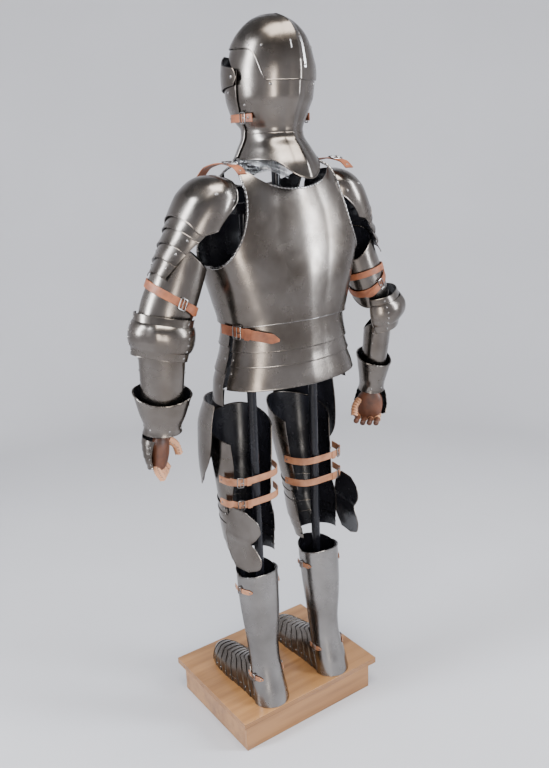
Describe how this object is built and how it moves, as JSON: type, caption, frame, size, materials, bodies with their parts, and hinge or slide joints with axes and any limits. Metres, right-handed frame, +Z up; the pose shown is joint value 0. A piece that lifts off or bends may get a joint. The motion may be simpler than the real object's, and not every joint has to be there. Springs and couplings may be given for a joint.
{
  "type": "suit of plate armour on wooden display stand",
  "caption": "Full suit of plate armour with visored helmet, cuirass, laminated shoulders, gauntlets and leg armour, standing hollow on a varnished wooden plinth with dark poles",
  "frame": {"origin": "the middle of the underside of the plinth", "axes": "the suit faces -Y, its left side is +X, +Z is up and the longest extent"},
  "size_m": [0.8514, 0.4181, 1.9256],
  "materials": {
    "steel": "satin brushed plate, a little browned",
    "mail": "riveted mail rings, bright",
    "strap_leather": "tan strap leather, waxed",
    "pale_leather": "pale undyed strap leather",
    "glove_leather": "red-brown glove leather, matt",
    "wood": "varnished plywood",
    "pole": "black gloss"
  },
  "bodies": {
    "armour": {"plinth_box": "wood", "plinth_board": "wood", "pole_left": "pole", "pole_right": "pole", "stand_yoke": "pole", "helmet_skull": "steel", "helmet_nape": "steel", "helmet_bevor": "steel", "helmet_strap_left": "strap_leather", "helmet_strap_right": "strap_leather", "mail_collar": "mail", "backplate": "steel", "breastplate": "steel", "back_waist_plate": "steel", "back_lame_1": "steel", "back_lame_2": "steel", "front_waist_plate": "steel", "front_lame_1": "steel", "front_lame_2": "steel", "waist_strap": "strap_leather", "shoulder_strap_left": "strap_leather", "shoulder_strap_right": "strap_leather", "pauldron_left": "steel", "pauldron_lames_left": "steel", "rerebrace_left": "steel", "arm_strap_left": "strap_leather", "cuisse_left": "steel", "poleyn_left": "steel", "poleyn_wing_left": "steel", "greave_back_left": "steel", "greave_front_left": "steel", "sabaton_left": "steel", "thigh_strap_upper_left": "pale_leather", "thigh_strap_lower_left": "pale_leather", "tasset_left": "steel", "pauldron_right": "steel", "pauldron_lames_right": "steel", "rerebrace_right": "steel", "arm_strap_right": "strap_leather", "cuisse_right": "steel", "poleyn_right": "steel", "poleyn_wing_right": "steel", "greave_back_right": "steel", "greave_front_right": "steel", "sabaton_right": "steel", "thigh_strap_upper_right": "pale_leather", "thigh_strap_lower_right": "pale_leather", "tasset_right": "steel"},
    "visor": {"visor": "steel"},
    "forearm_left": {"vambrace_left": "steel", "gauntlet_cuff_left": "steel", "gauntlet_hand_left": "steel", "glove_left": "glove_leather"},
    "couter_left": {"couter_left": "steel"},
    "forearm_right": {"vambrace_right": "steel", "gauntlet_cuff_right": "steel", "gauntlet_hand_right": "steel", "glove_right": "glove_leather"},
    "couter_right": {"couter_right": "steel"}
  },
  "joints": [
    {"name": "visor_lift", "type": "hinge", "parent": "armour", "child": "visor", "pos_m": [0, 0.076, 1.786], "axis": [-1, 0, 0], "range_deg": [0, 34]},
    {"name": "elbow_left", "type": "hinge", "parent": "armour", "child": "forearm_left", "pos_m": [0.352, 0.086, 1.2], "axis": [-0.883, 0.4694, 0], "range_deg": [0, 60]},
    {"name": "couter_follow_left", "type": "hinge", "parent": "armour", "child": "couter_left", "pos_m": [0.352, 0.086, 1.2], "axis": [-0.883, 0.4694, 0], "range_deg": [0, 30]},
    {"name": "elbow_right", "type": "hinge", "parent": "armour", "child": "forearm_right", "pos_m": [-0.352, 0.086, 1.166], "axis": [-0.883, -0.4694, 0], "range_deg": [0, 60]},
    {"name": "couter_follow_right", "type": "hinge", "parent": "armour", "child": "couter_right", "pos_m": [-0.352, 0.086, 1.166], "axis": [-0.883, -0.4694, 0], "range_deg": [0, 30]}
  ],
  "couplings": [
    {"joint": "couter_follow_left", "follows": "elbow_left", "ratio": 0.5},
    {"joint": "couter_follow_right", "follows": "elbow_right", "ratio": 0.5}
  ]
}
